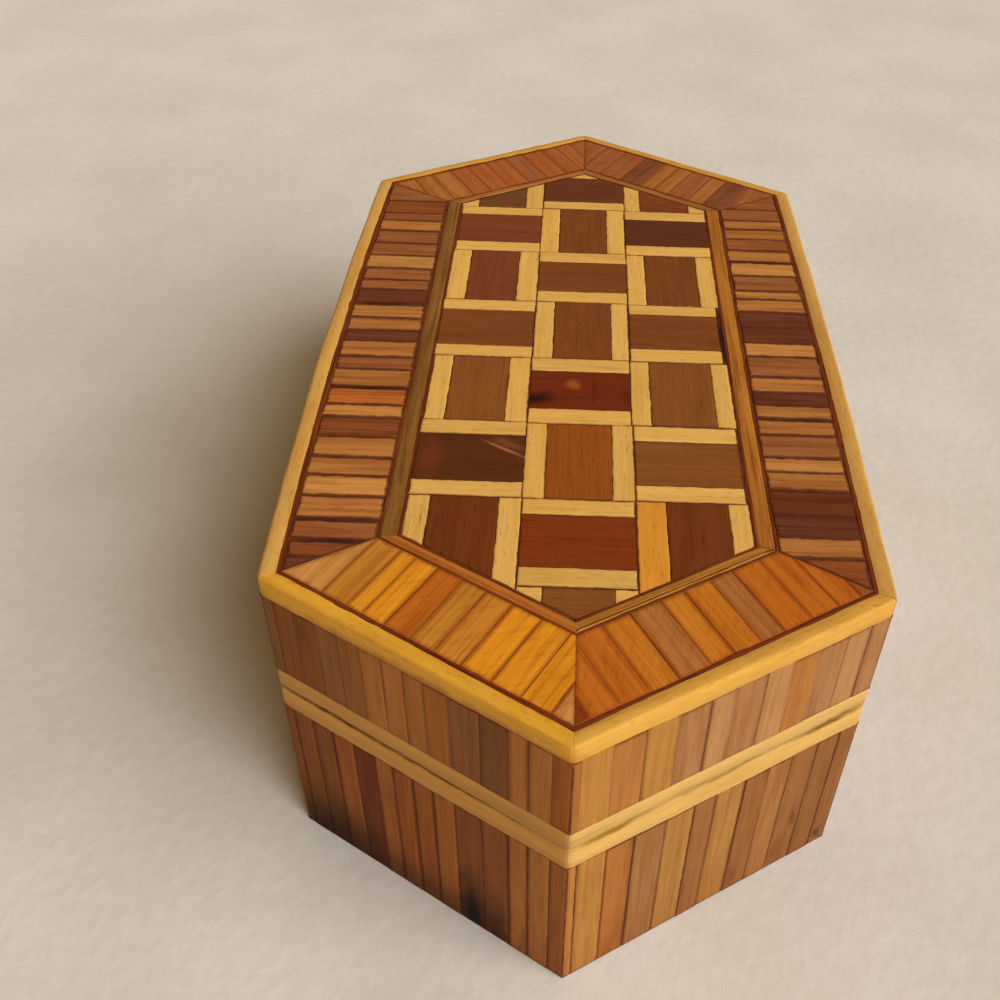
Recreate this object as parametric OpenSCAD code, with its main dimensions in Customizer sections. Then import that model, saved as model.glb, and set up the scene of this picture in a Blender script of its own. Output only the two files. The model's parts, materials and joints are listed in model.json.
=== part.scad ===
// Inlaid wooden trinket box: an elongated hexagon with pointed ends and a lid that lifts off.
// Millimetres, +Z up, +Y along the length, origin at the centre of the underside.

/* [Body] */
// Length from point to point
body_l = 118; // [100:1:136]
// Width across the two long sides
body_w = 62; // [54:1:72]
// Length of each straight long side
side_l = 82; // [66:1:92]
// Height of the base, from the underside to the seam
base_h = 26; // [20:0.1:40]
// Height of the lid, from the seam to its top
lid_h = 16.5; // [14:0.1:30]

/* [Walls] */
// Thickness of the wall boards behind the staves
wall_t = 3.2; // [2.4:0.1:5]
// Thickness of the staves that face the walls
facing_t = 1; // [0.6:0.1:1.4]
// Thickness of the liner boards inside the base
liner_t = 1.6; // [1.2:0.1:2.5]
// Thickness of the base's floor
floor_t = 3; // [2:0.1:5]
// Height of the base's pale rim, under the seam
base_rim_h = 3.3; // [1.6:0.1:4.2]
// Height of the lid's pale rim, over the seam
lid_rim_h = 2.8; // [1.6:0.1:3.5]
// Height of the liner's lip above the seam
lip_h = 3.5; // [2:0.1:5]
// Clearance between the lip and the inside of the lid
lip_clear = 0.4; // [0.2:0.05:0.8]

/* [Lid top] */
// Thickness of the lid's panel under the inlay
panel_t = 3; // [2.2:0.1:4]
// Thickness of the inlay
inlay_t = 1; // [0.6:0.1:1.4]
// Width of the pale edging along the long sides, seen from above
edging_w = 1.8; // [1.2:0.1:2.4]
// Width of the pale edging along the pointed ends, seen from above
edging_end_w = 1.5; // [1.2:0.1:2.4]
// Height of the pale edging, seen from the side
edging_h = 2.5; // [2:0.1:3.2]

/* [Inlay] */
// Width of the dark line inside the edging
outer_line_w = 0.5; // [0.3:0.05:0.8]
// Width of the band of cross-laid chips
chip_band_w = 8.5; // [6:0.1:10]
// Width of the dark line inside the chips
inner_line_w = 0.35; // [0.2:0.05:0.7]
// Width of the purfling along the long sides
purfling_side_w = 1.65; // [1.2:0.05:3.2]
// Width of the purfling along the pointed ends
purfling_end_w = 1.05; // [0.8:0.05:2.4]
// Width of the dark line round the parquet
field_line_w = 0.3; // [0.2:0.05:0.6]
// Number of parquet columns
columns = 3; // [2:1:5]
// Width of the pale strips on each side of a parquet block
strip_w = 2.4; // [1.4:0.1:3]
// Length of a parquet row along the box
row_l = 12.45; // [10:0.05:15]
// How far the middle one of the parquet's row joints lies from the middle of the lid
row_shift = -3.6; // [-6:0.1:6]

/* [Staves and chips] */
// Usual width of a stave on the long sides and the back
stave_w = 3; // [2:0.1:6]
// How much the widths of those staves vary, as a share
width_spread = 0.28; // [0:0.02:0.5]
// Glue line between neighbouring pieces
glue_gap = 0.1; // [0.04:0.01:0.2]

/* [Edges] */
// Radius worn on the edging's upper arris
edging_round = 0.4; // [0.2:0.05:1]
// Chamfer on the rim strips at the seam
seam_chamfer = 0.25; // [0.1:0.05:0.8]
// Chamfer on the lip's upper outer arris, which leads the lid on
lip_chamfer = 0.6; // [0.2:0.05:1]

/* [Hidden] */
FACES = ["front_right", "right", "back_right", "back_left", "left", "front_left"];

// The plan: half its width, how far a pointed end reaches past the side, and its slanted face
half_w = body_w / 2;
point_l = (body_l - side_l) / 2;
slope = point_l / half_w;
slant_l = norm([half_w, point_l]);

// Heights
total_h = base_h + lid_h;
lip_z = base_h + lip_h;
inlay_z = total_h - inlay_t;
panel_z = inlay_z - panel_t;
edging_z = total_h - edging_h;

// Insets from the outside of the box to each layer, going inwards
wall_in = facing_t + wall_t;
lid_wall_in = wall_in - lip_clear;
liner_in = wall_in + liner_t;

// Insets of the lid's inlaid bands on the long sides, and on the pointed ends
line_side_in = edging_w + outer_line_w;
chips_side_in = line_side_in + chip_band_w;
inner_side_in = chips_side_in + inner_line_w;
purfling_side_in = inner_side_in + purfling_side_w;
field_side_in = purfling_side_in + field_line_w;
line_end_in = edging_end_w + outer_line_w;
chips_end_in = line_end_in + chip_band_w;
inner_end_in = chips_end_in + inner_line_w;
purfling_end_in = inner_end_in + purfling_end_w;
field_end_in = purfling_end_in + field_line_w;

// Plans of the inner edge of each band, going inwards
edging_plan = outline(edging_w, edging_end_w);
line_plan = outline(line_side_in, line_end_in);
chips_plan = outline(chips_side_in, chips_end_in);
inner_plan = outline(inner_side_in, inner_end_in);
purfling_plan = outline(purfling_side_in, purfling_end_in);
field_plan = outline(field_side_in, field_end_in);

// The parquet fills what the borders leave
field_w = body_w - 2 * field_side_in;
unit = field_w / columns;
field_tip_y = body_l / 2 - field_end_in * slant_l / half_w;
// Less of a row than this, at a point of the field, is left to the row before it
least_row = row_l / 8;
// A side of a cut piece that would be shorter than this is a point
least_side = glue_gap / 10;
// Cutting shapes reach this far past what they cut
over = 1;

// Tones of the woods
BOXWOOD = [0.85, 0.66, 0.32];
CEDAR = [0.55, 0.31, 0.16];
STAVE = [0.62, 0.36, 0.19];
CHIP = [0.66, 0.36, 0.15];
DARK = [0.24, 0.10, 0.06];
OLIVE = [0.60, 0.40, 0.18];
WALNUT = [0.36, 0.18, 0.10];
ROSEWOOD = [0.42, 0.15, 0.08];

// The hexagonal plan inset by i on the long sides and by j on the pointed ends, anticlockwise
// from the front point
function outline(i, j) =
    let (x = half_w - i,
         tip_y = body_l / 2 - j * slant_l / half_w,
         side_y = tip_y - x * slope)
    [[0, -tip_y], [x, -side_y], [x, side_y], [0, tip_y], [-x, side_y], [-x, -side_y]];

function inset(i) = outline(i, i);

function next(k) = (k + 1) % 6;

// A repeatable irregularity between -1 and 1 for piece i of a run
function wobble(i, run) = sin(i * i * 47 + i * 113 + run * 71);

// Widths of the staves on the two front faces, and of the chips on each face, anticlockwise. Each list is
// stretched to its face.
STAVE_WIDTHS = [
    [0.9, 3.3, 3.3, 3.7, 3.3, 2.8, 3.6, 3, 3.1, 3.4, 2.8, 2.6],
    [],
    [],
    [],
    [],
    [1.4, 2.7, 2.7, 2.7, 2.9, 2.4, 2.5, 2.6, 2.7, 3.4, 3.1, 2.2, 2.5, 2.1]];
CHIP_WIDTHS = [
    [1.6, 3, 3.1, 3.1, 3.4, 2.7, 3, 2.7, 3.3, 3.2, 2.8, 1.4],
    [4.2, 2.9, 3.3, 3.7, 2.9, 2.3, 4, 2.8, 2.6, 2.4, 3, 4.2, 2.9, 3.3, 3.6, 3.1, 1.9, 3.8, 3.6, 3.1, 3.1,
     2.8, 2.6, 3.3, 4.8],
    [4.2, 3.7, 2.5, 3.4, 2.4, 2.1, 3.8, 3.5, 3.4, 4.4],
    [3.1, 2.4, 2.7, 3.4, 3.1, 3.3, 3.2, 2.9, 3.1, 2.9, 3.2],
    [5.4, 3.7, 2.2, 2.8, 3.5, 3.2, 3.4, 2.9, 2.5, 3.3, 3.3, 2.8, 2.3, 3.2, 2.6, 3.6, 3.2, 2.3, 3.4, 3.5,
     3, 3.2, 3.5, 3, 2.3, 2.1],
    [5, 3, 1.9, 2.6, 3, 2.8, 3, 3.4, 3.2, 3.1, 2.4]];

// Running sum of the first n values of a list
function sum_to(v, n) = n <= 0 ? 0 : v[n - 1] + sum_to(v, n - 1);

// Relative widths of irregular staves that fill a length
function uneven_widths(length, run) =
    [for (i = [0:max(2, round(length / stave_w)) - 1]) 1 + width_spread * wobble(i, run)];

// Joint positions of pieces that fill a length, from 0 to that length, by their relative widths
function joints(length, widths) =
    let (n = len(widths), scale = length / sum_to(widths, n))
    [for (i = [0:n]) scale * sum_to(widths, i)];

// A flat layer on a plan
module prism(points, z0, z1)
    translate([0, 0, z0]) linear_extrude(z1 - z0) polygon(points);

// The mitred piece of a layer between two plans on face k, with half a glue line at each mitre
module segment(outer, inner, k, z0, z1) {
    run = outer[next(k)] - outer[k];
    trim = run / norm(run) * glue_gap / 2;
    prism([outer[k] + trim, outer[next(k)] - trim, inner[next(k)] - trim, inner[k] + trim], z0, z1);
}

// Puts what it holds at the start of face k, with X along the face and Y inwards
module on_face(plan, k) {
    run = plan[next(k)] - plan[k];
    translate(plan[k]) rotate(atan2(run[1], run[0])) children();
}

// A mitred length along face k, with half a glue line at each mitre. Its section is a list of points,
// each an inset and a height, that go from the outside at the foot over the top to the inside. On the
// pointed ends it is end_share times as wide.
module moulding(section, k, end_share = 1) {
    n = len(section);
    run = inset(0)[next(k)] - inset(0)[k];
    trim = run / norm(run) * glue_gap / 2;
    start = [for (p = section) concat(outline(p[0], p[0] * end_share)[k] + trim, [p[1]])];
    stop = [for (p = section) concat(outline(p[0], p[0] * end_share)[next(k)] - trim, [p[1]])];
    polyhedron(concat(start, stop), concat(
        [[for (i = [0:n - 1]) i]],
        [[for (i = [0:n - 1]) 2 * n - 1 - i]],
        [for (i = [0:n - 1]) [i, n + i, n + (i + 1) % n, (i + 1) % n]]));
}

// Plan of the piece from a to b along face k, between two plans, in the face's own X and Y. The mitres
// at both ends of the face cut it back, so a piece there is a triangle or has one slanted end.
function cut_piece(outer, inner, k, a, b) =
    let (run = outer[next(k)] - outer[k],
         along = run / norm(run),
         depth = cross(along, inner[k] - outer[k]),
         first = glue_gap / 2,
         last = norm(run) - first,
         start = first + (inner[k] - outer[k]) * along,
         stop = last + (inner[next(k)] - outer[next(k)]) * along,
         depth_at = function (x) depth * min(1, (x - first) / (start - first), (last - x) / (last - stop)))
    [[a, 0],
     [b, 0],
     if (depth_at(b) > least_side) [b, depth_at(b)],
     if (a < stop && stop < b) [stop, depth],
     if (a < start && start < b) [start, depth],
     if (depth_at(a) > least_side) [a, depth_at(a)]];

// A mitred layer cut crossways into pieces of irregular width, with glue lines between them
module cross_cut(outer, inner, k, z0, z1, widths) {
    length = norm(outer[next(k)] - outer[k]);
    at = joints(length, len(widths) > 0 ? widths : uneven_widths(length, k));
    on_face(outer, k)
        for (i = [0:len(at) - 2])
            prism(cut_piece(outer, inner, k, at[i] + glue_gap / 2, at[i + 1] - glue_gap / 2), z0, z1);
}

module base_floor()
    color(CEDAR) prism(inset(wall_in), 0, floor_t);

module base_wall(k)
    color(CEDAR) segment(inset(facing_t), inset(wall_in), k, 0, base_h - base_rim_h);

module base_staves(k)
    color(STAVE) cross_cut(inset(0), inset(facing_t), k, 0, base_h - base_rim_h, STAVE_WIDTHS[k]);

module base_rim(k)
    color(BOXWOOD) moulding([
        [0, base_h - base_rim_h],
        [0, base_h - seam_chamfer],
        [seam_chamfer, base_h],
        [wall_in, base_h],
        [wall_in, base_h - base_rim_h]], k);

module base_liner(k)
    color(BOXWOOD) moulding([
        [wall_in, floor_t],
        [wall_in, lip_z - lip_chamfer],
        [wall_in + lip_chamfer, lip_z],
        [liner_in, lip_z],
        [liner_in, floor_t]], k);

module lid_rim(k)
    color(BOXWOOD) moulding([
        [seam_chamfer, base_h],
        [0, base_h + seam_chamfer],
        [0, base_h + lid_rim_h],
        [lid_wall_in, base_h + lid_rim_h],
        [lid_wall_in, base_h]], k);

module lid_wall(k)
    color(CEDAR) segment(inset(facing_t), inset(lid_wall_in), k, base_h + lid_rim_h, panel_z);

// The joints of the lid's staves line up with those of the base
module lid_staves(k)
    color(STAVE) cross_cut(inset(0), inset(facing_t), k, base_h + lid_rim_h, edging_z, STAVE_WIDTHS[k]);

// The panel rests on the walls, and its edge is rebated for the edging
module lid_panel()
    color(CEDAR) union() {
        prism(inset(facing_t), panel_z, edging_z);
        prism(edging_plan, edging_z, inlay_z);
    }

module lid_edging()
    color(BOXWOOD) for (k = [0:5]) moulding(concat(
        [[0, edging_z]],
        [for (a = [0:30:90]) [edging_round * (1 - cos(a)), total_h - edging_round * (1 - sin(a))]],
        [[edging_w, total_h], [edging_w, edging_z]]), k, edging_end_w / edging_w);

module border_chips(k)
    color(CHIP) cross_cut(line_plan, chips_plan, k, inlay_z, total_h, CHIP_WIDTHS[k]);

// Six mitred lengths of a thin line or strip let into the top
module inlaid_ring(outer, inner)
    for (k = [0:5]) segment(outer, inner, k, inlay_z, total_h);

module outer_line()
    color(DARK) inlaid_ring(edging_plan, line_plan);

module inner_line()
    color(DARK) inlaid_ring(chips_plan, inner_plan);

module purfling()
    color(OLIVE) inlaid_ring(inner_plan, purfling_plan);

module field_line()
    color(DARK) inlaid_ring(purfling_plan, field_plan);

// Distance from the middle line to the nearest edge of a stretch
function near(low, high) = low > 0 ? low : high < 0 ? -high : 0;

// How far from the middle the field reaches along Y, at a distance x from its long axis
function reach(x) = field_tip_y - x * slope;

// A rectangular piece of parquet, trimmed to the field, with a glue line round it. One that would be
// shorter than a glue line is left out.
module parquet_piece(xs, ys)
    if (near(ys[0], ys[1]) + glue_gap < reach(near(xs[0], xs[1])))
        intersection() {
            prism(field_plan, inlay_z, total_h);
            translate([xs[0] + glue_gap / 2, ys[0] + glue_gap / 2, inlay_z - over])
                cube([xs[1] - xs[0] - glue_gap, ys[1] - ys[0] - glue_gap, inlay_t + 2 * over]);
        }

// The pale strips of a unit, or the dark block between them, which runs along Y if it is upright
module parquet_unit(block, upright, x0, y0, low, high) {
    x1 = x0 + unit;
    y1 = y0 + row_l;
    if (block && upright) parquet_piece([x0 + strip_w, x1 - strip_w], [low, high]);
    if (block && !upright) parquet_piece([x0, x1], [y0 + strip_w, y1 - strip_w]);
    if (!block && upright) {
        parquet_piece([x0, x0 + strip_w], [low, high]);
        parquet_piece([x1 - strip_w, x1], [low, high]);
    }
    if (!block && !upright) {
        parquet_piece([x0, x1], [low, y0 + strip_w]);
        parquet_piece([x0, x1], [y1 - strip_w, high]);
    }
}

// Woods of the parquet's blocks, a row at a time from the front and a letter for each column: r is
// the redder wood. Rows are counted from the joint near the middle, and half of the list lies before it.
BLOCK_WOODS = ["ppp", "prp", "ppp", "prp", "ppp", "rpp", "rpr", "prr"];
rows_before = len(BLOCK_WOODS) / 2;
function is_red(column, row) = BLOCK_WOODS[row + rows_before][column] == "r";

// All strips, or all blocks of one wood. Each unit is turned a quarter from those beside it, like a
// basket weave, and a row that the field's point cuts short takes in any narrow remainder.
module parquet(block, red) {
    first = floor((-field_tip_y - row_shift) / row_l);
    last = floor((field_tip_y - row_shift) / row_l);
    for (column = [0:columns - 1], row = [first:last]) {
        x0 = -field_w / 2 + column * unit;
        y0 = row_shift + row * row_l;
        end = reach(near(x0, x0 + unit));
        inside = near(y0, y0 + row_l) + least_row < end;
        low = y0 < -end + least_row ? min(y0, -end) : y0;
        high = y0 + row_l > end - least_row ? max(y0 + row_l, end) : y0 + row_l;
        if (inside && (!block || is_red(column, row) == red))
            parquet_unit(block, (column + row) % 2 != 0, x0, y0, low, high);
    }
}

module parquet_strips()
    color(BOXWOOD) parquet(false, false);

module parquet_blocks_plain()
    color(WALNUT) parquet(true, false);

module parquet_blocks_red()
    color(ROSEWOOD) parquet(true, true);

base_floor();
lid_panel();
lid_edging();
outer_line();
inner_line();
purfling();
field_line();
parquet_strips();
parquet_blocks_plain();
parquet_blocks_red();
for (k = [0:5]) {
    base_wall(k);
    base_staves(k);
    base_rim(k);
    base_liner(k);
    lid_wall(k);
    lid_staves(k);
    lid_rim(k);
    border_chips(k);
}
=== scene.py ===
# Looks of an inlaid wooden trinket box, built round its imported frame. Metres, +Z up, +Y along the box.
import json
import math
import random

import bmesh
import bpy
from mathutils import Matrix, Vector, noise

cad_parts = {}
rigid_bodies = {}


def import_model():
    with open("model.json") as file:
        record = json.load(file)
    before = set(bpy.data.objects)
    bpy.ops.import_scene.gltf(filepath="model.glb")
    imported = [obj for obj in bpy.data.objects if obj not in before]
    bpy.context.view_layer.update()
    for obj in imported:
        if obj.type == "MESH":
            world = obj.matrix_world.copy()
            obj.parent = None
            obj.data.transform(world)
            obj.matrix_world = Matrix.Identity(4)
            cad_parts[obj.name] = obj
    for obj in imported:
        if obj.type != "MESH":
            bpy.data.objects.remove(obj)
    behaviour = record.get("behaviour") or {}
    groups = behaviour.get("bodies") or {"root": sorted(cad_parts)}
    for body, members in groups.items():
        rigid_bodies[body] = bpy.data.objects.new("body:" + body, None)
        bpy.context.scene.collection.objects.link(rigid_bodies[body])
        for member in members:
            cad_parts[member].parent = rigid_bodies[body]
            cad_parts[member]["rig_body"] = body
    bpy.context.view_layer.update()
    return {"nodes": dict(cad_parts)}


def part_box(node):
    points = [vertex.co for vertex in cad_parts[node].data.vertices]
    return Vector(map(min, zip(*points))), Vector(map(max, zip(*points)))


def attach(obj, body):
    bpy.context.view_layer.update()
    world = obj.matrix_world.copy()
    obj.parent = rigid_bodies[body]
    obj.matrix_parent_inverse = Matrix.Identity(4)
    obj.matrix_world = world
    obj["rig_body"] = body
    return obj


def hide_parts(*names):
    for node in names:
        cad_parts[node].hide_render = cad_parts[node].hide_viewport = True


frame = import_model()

MM = 0.001
UP = Vector((0, 0, 1))
FACES = ["front_right", "right", "back_right", "back_left", "left", "front_left"]

# The frame's corners are welded within WELD, faces that meet flatter than FLAT are joined, and an
# outline's sides shorter than SHORTEST are dropped
WELD = 0.001 * MM
FLAT = math.radians(1)
SHORTEST = 0.15 * MM
# Corners and edges that turn by more than this are sharp
SHARP = math.radians(50)
# Limits of the dot products of directions that are square to each other, much the same, and parallel
SQUARE, ALIGNED, PARALLEL = 0.1, 0.9, 0.999

# Glue shows between the pieces from GLUE_DEPTH under the surface. It reaches to GLUE_BACK, and stays
# GLUE_ENDS clear of the upper and lower ends
GLUE_DEPTH = 0.08 * MM
GLUE_BACK = 0.97 * MM
GLUE_ENDS = 0.01 * MM

# A joint between two of the parquet's rows, the row behind it, the rows' length and the columns
ROW_JOINT, JOINT_ROW = -3.6 * MM, 3
ROW_LENGTH = 12.45 * MM
COLUMNS = 3

# Distances between the points along a cut edge, along a moulding and round the glue
CUT_STEP = 0.6 * MM
BAR_STEP = 1.0 * MM
RING_STEP = 4 * MM

# How far the long sides bulge out halfway along
BOW = {"left": 0.85 * MM, "right": 0.5 * MM}


def linear(*srgb):
    """A colour written in sRGB values from 0 to 255, as linear light with full alpha."""
    parts = [c / 255 for c in srgb]
    return tuple(c / 12.92 if c <= 0.04045 else ((c + 0.055) / 1.055) ** 2.4 for c in parts) + (1.0,)


def tones(**named):
    """Colours by letter or name, from their sRGB values."""
    return {name: linear(*srgb) for name, srgb in named.items()}


# Tones of the staves, by the letters used in the lists below
STAVE_TONES = tones(
    l=(171, 122, 75), t=(170, 118, 56), o=(174, 112, 54), p=(164, 113, 70), q=(154, 104, 57),
    w=(160, 98, 42), n=(156, 90, 38), b=(142, 92, 48), c=(135, 80, 35), g=(124, 80, 40),
    d=(118, 70, 34), r=(132, 72, 30), k=(114, 56, 22))
# Those of the lid's border: chips on the long sides, and the brighter ones on the ends
SIDE_CHIP_TONES = tones(
    l=(200, 136, 70), t=(184, 118, 60), o=(188, 106, 46), r=(146, 78, 40), b=(160, 96, 54),
    d=(112, 60, 38), m=(112, 56, 30))
# Painted sheen: y is a golden tone brighter than the wood, for the shine of the front left chips
END_CHIP_TONES = tones(
    l=(204, 144, 74), t=(198, 130, 46), o=(192, 106, 32), a=(198, 120, 36), y=(224, 146, 34),
    b=(156, 90, 46), g=(176, 112, 56), m=(132, 58, 22), c=(174, 98, 50), p=(160, 94, 56),
    q=(130, 76, 48))
# Staves of each face, anticlockwise as seen from above, and chips likewise
STAVES = {
    "lid_staves_front_right": "ototplploplp",
    "base_staves_front_right": "otwqtbtbqbbb",
    "lid_staves_front_left": "gccbbooowbgoon",
    "base_staves_front_left": "rccnkwnnwccoow",
}
CHIPS = {
    "front_right": "mooagaagooob",
    "right": "rtdmtlbttdtblddtlbltbttbb",
    "back_right": "pqgpggqppp",
    "back_left": "pcccpcccggg",
    "left": "brbtbblbbdttdtbtolrttltbrd",
    # The front left chips are mostly y, whose extra brightness is painted sheen
    "front_left": "ltyyottyyyl",
}
# Woods that the other staves are picked from
MIXED_STAVES = "tobbrpdtoblt"

# Woods of the parquet's blocks, back row first, and their tones
BLOCKS = ["ghm", "mwk", "mww", "www", "bxb", "yob", "drd", "wbw"]
BLOCK_TONES = tones(
    w=(127, 71, 34), g=(112, 70, 38), b=(138, 82, 38), r=(132, 58, 22), m=(130, 66, 38),
    h=(108, 56, 34), k=(98, 51, 32), o=(150, 78, 26), d=(116, 58, 23), x=(114, 45, 20), y=(92, 48, 22))
# Blocks with a knot and with a pale streak, and which of the blocks' materials they have
FIGURED_BLOCKS = {"x": 1, "y": 2}
PALE = linear(224, 174, 90)
ORANGE_PALE = linear(212, 144, 50)
RIM = linear(206, 162, 90)
EDGING = linear(212, 156, 66)
# Mouldings whose tone differs from the others of their kind
OWN_BARS = {
    # Dirt and painted shade: the front left rim, on the shaded face, is darker than the other rims
    ("rim", "front_left"): linear(196, 144, 74),
    ("edging", "front_left"): linear(222, 160, 52),
    # Painted sheen: the edging on the long sides is paler and greyer than the rest
    ("edging", "left"): linear(206, 156, 80),
    ("edging", "right"): linear(206, 154, 80),
}
INSIDE = linear(196, 150, 92)
CASING = linear(150, 104, 64)
LINE = linear(122, 57, 25)
GLUE = linear(84, 40, 20)
PURFLING = tones(
    front_right=(188, 128, 52), right=(184, 116, 46), back_right=(166, 108, 54),
    back_left=(184, 118, 58), left=(138, 94, 44), front_left=(186, 112, 44))

# Strip joints cut off their usual line, by row and column from the back left and the joint's side
UNEVEN = {(6, 2, "low"): 0.8 * MM, (2, 0, "high"): -0.3 * MM, (4, 1, "low"): 0.2 * MM}
# The cell whose left strip is of a more orange wood
ORANGE_CELL = (6, 2)
# Cells whose right-hand ends were cut short and filled with glue
CREVICES = {(3, 2): 0.5 * MM, (5, 2): 0.22 * MM}
# Wide dark joints between the long sides' chips, by their places along the face in millimetres
WIDE_JOINTS = {"right": (26.8, 61.4), "left": (33.8, 51.6, 73.7, 76.7)}


def place_object(name, data):
    """A new object in the scene."""
    made = bpy.data.objects.new(name, data)
    bpy.context.scene.collection.objects.link(made)
    return made


# Materials

class Tree:
    """A new material and its nodes."""

    def __init__(self, name):
        self.material = bpy.data.materials.new(name)
        self.material.use_nodes = True
        self.own = self.add("TexCoord", output="Object")

    def set(self, node, inputs):
        """An input given a socket is linked to it, and any other value is set."""
        for key, value in inputs.items():
            if isinstance(value, bpy.types.NodeSocket):
                self.material.node_tree.links.new(value, node.inputs[key])
            else:
                node.inputs[key].default_value = value

    def add(self, kind, inputs=None, output=0, **settings):
        """One output of a new node."""
        made = self.material.node_tree.nodes.new("ShaderNode" + kind)
        for name, value in settings.items():
            setattr(made, name, value)
        self.set(made, inputs or {})
        return made.outputs[output]

    def math(self, operation, first, second, third=0.0):
        return self.add("Math", {0: first, 1: second, 2: third}, operation=operation)

    def vector(self, operation, first, second):
        return self.add("VectorMath", {0: first, 1: second}, operation=operation)

    def scaled(self, vector, scale):
        return self.add("VectorMath", {0: vector, "Scale": scale}, operation="SCALE")

    def turned(self, vector, angle):
        """A vector turned about the vertical."""
        return self.add("VectorRotate", {"Vector": vector, "Angle": angle}, rotation_type="Z_AXIS")

    def ramp(self, value, low, high):
        """0 below low, 1 above high and smooth between them."""
        return self.add("MapRange", {"Value": value, "From Min": low, "From Max": high},
                        interpolation_type="SMOOTHSTEP")

    def noise(self, scale, detail, output="Fac"):
        """Noise of an even scale, per metre."""
        return self.add("TexNoise", {"Vector": self.own, "Scale": scale, "Detail": detail}, output)

    def stretched(self, coords, scale, detail, rough, distortion=0.0):
        """Noise with its own scale along the grain, across it and into the wood, per millimetre."""
        return self.add("TexNoise", {
            "Vector": self.vector("MULTIPLY", coords, scale), "Scale": 1.0, "Detail": detail,
            "Roughness": rough, "Distortion": distortion}, "Fac")

    def mix(self, factor, first, second, blend="MIX"):
        return self.add("Mix", {0: factor, 6: first, 7: second}, 2, data_type="RGBA", blend_type=blend)

    def finish(self, colour, roughness, specular, height=None, strength=0.0, distance=0.0):
        """The material, once its shader's inputs are set. The last three are for its relief."""
        inputs = {"Base Color": colour, "Roughness": roughness, "Specular IOR Level": specular}
        if height is not None:
            relief = {"Height": height, "Strength": strength, "Distance": distance}
            inputs["Normal"] = self.add("Bump", relief)
        self.set(self.material.node_tree.nodes["Principled BSDF"], inputs)
        return self.material


# The rim of a spot, whether a stain, a figure or painted shade, is moved by noise of this scale, by a share
# of its least radius, up to WARP_MOST
WARP_SCALE, WARP_SHARE, WARP_MOST = 0.45 / MM, 1.4, 2.2


def spot(tree, place, radii, turn):
    """1 in the middle of an ellipsoid in the wood and 0 outside it, with an uneven rim."""
    warp = tree.vector("SUBTRACT", tree.noise(WARP_SCALE, 3.0, "Color"), (0.5, 0.5, 0.5))
    warp = tree.scaled(warp, min(WARP_MOST, WARP_SHARE * min(radii)) * MM)
    moved = tree.vector("SUBTRACT", tree.vector("ADD", tree.own, warp), place)
    turned = tree.turned(moved, -math.radians(turn))
    scaled = tree.vector("DIVIDE", turned, [r * MM for r in radii])
    distance = tree.add("VectorMath", {0: scaled}, "Value", operation="LENGTH")
    return tree.math("SUBTRACT", 1.0, tree.ramp(distance, 0.1, 1.1))


def grain_coords(tree, tint):
    """Coordinates in millimetres with X along the grain, and the colour and edge that go with them.
    A CAD node has no attributes, so it has its own coordinates and one tint."""
    if tint is None:
        return [tree.add("Attribute", output=output, attribute_name=name)
                for name, output in (("grain", "Vector"), ("tint", "Color"), ("edge", "Fac"))]
    return tree.turned(tree.scaled(tree.own, 1 / MM), math.pi / 2), tint, 0.0


# Noises of the wood: their scale along the grain, across it and into the wood, their detail, roughness
# and distortion. That of curly wood runs at a slant
FIBRES = ((0.12, 3.2, 3.2), 3.0, 0.6, 0.3)
FLECKS = ((0.9, 6.0, 6.0), 1.0, 0.5)
PATCHES = ((0.2, 0.5, 0.5), 4.0, 0.6)
CURLS = ((0.22, 1.5, 0.5), 3.0, 0.6, 1.0)
CURL_SLANT = 0.7
# Painted shade near the floor ends between these heights, which the growth rings shift
FOOT_LOW, FOOT_HIGH, FOOT_SHIFT = 2 * MM, 15 * MM, 6 * MM
# Strength and height of the fibres' relief
RELIEF, RELIEF_HEIGHT = 0.3, 0.05 * MM


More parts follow.
